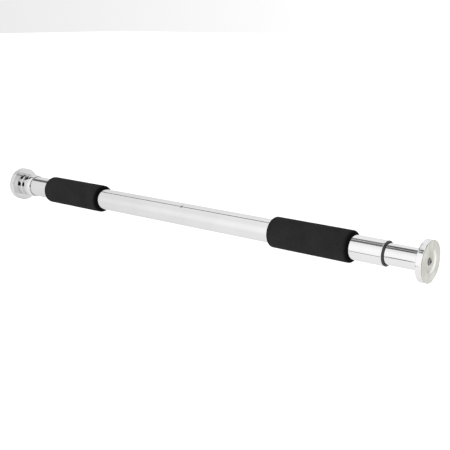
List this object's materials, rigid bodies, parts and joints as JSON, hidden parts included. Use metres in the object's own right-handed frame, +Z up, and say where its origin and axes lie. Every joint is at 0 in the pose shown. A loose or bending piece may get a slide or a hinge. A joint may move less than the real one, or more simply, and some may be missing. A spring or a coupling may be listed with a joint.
{
  "type": "pull up bar",
  "caption": "Telescopic chrome doorway chin up bar with foam grips; its threaded inner tube turns out to clamp swivelling rubber padded flanges between the door jambs.",
  "frame": {"origin": "centre of the bar: on its axis, midway between the wall faces of the two rubber pads at the rest length", "axes": "+X along the bar from the fixed left flange to the flange of the inner tube, +Z up, -Y towards the user"},
  "size_m": [0.745, 0.0524, 0.0524],
  "materials": {
    "chrome_tube": "polished chrome plate on steel tube",
    "chrome_flange": "polished chrome plate on pressed steel",
    "foam": "matte closed cell foam",
    "black_plastic": "satin moulded plastic",
    "zinc_steel": "zinc plated steel",
    "screw_steel": "zinc plated screw",
    "pin_steel": "bare turned steel",
    "nylon": "natural nylon",
    "pad_rubber": "beige grey soft rubber"
  },
  "bodies": {
    "outer_tube_body": {"outer_tube": "chrome_tube", "left_grip": "foam", "right_grip": "foam", "collar_ring": "black_plastic", "spindle_plug": "zinc_steel", "spindle": "zinc_steel", "spindle_lock_pin": "pin_steel", "spindle_stop_collar": "zinc_steel", "spindle_stop_pin": "pin_steel", "left_tube_plug": "zinc_steel", "left_thrust_washer": "nylon", "left_swivel_screw": "screw_steel", "left_screw_washer": "screw_steel"},
    "left_flange": {"left_flange_cup": "chrome_flange", "left_neck_socket": "chrome_flange", "left_backing_plate": "zinc_steel", "left_pad": "pad_rubber"},
    "slide_guide": {"guide_bush": "nylon"},
    "inner_tube_body": {"inner_tube": "chrome_tube", "spindle_nut": "zinc_steel", "right_tube_plug": "zinc_steel", "right_thrust_washer": "nylon", "right_swivel_screw": "screw_steel", "right_screw_washer": "screw_steel"},
    "right_flange": {"right_flange_cup": "chrome_flange", "right_backing_plate": "zinc_steel", "right_pad": "pad_rubber"}
  },
  "joints": [
    {"name": "telescope", "type": "slide", "parent": "outer_tube_body", "child": "slide_guide", "axis": [1, 0, 0], "range_m": [-0.04, 0.18]},
    {"name": "spindle_turn", "type": "hinge", "parent": "slide_guide", "child": "inner_tube_body", "pos_m": [0.048, 0, 0], "axis": [1, 0, 0], "range_deg": [-3600, 16200]},
    {"name": "left_swivel", "type": "hinge", "parent": "outer_tube_body", "child": "left_flange", "pos_m": [-0.3635, 0, 0], "axis": [1, 0, 0], "continuous": true},
    {"name": "right_swivel", "type": "hinge", "parent": "inner_tube_body", "child": "right_flange", "pos_m": [0.3635, 0, 0], "axis": [1, 0, 0], "continuous": true}
  ],
  "couplings": [
    {"joint": "telescope", "follows": "spindle_turn", "m_per_rad": 0.00063662}
  ]
}
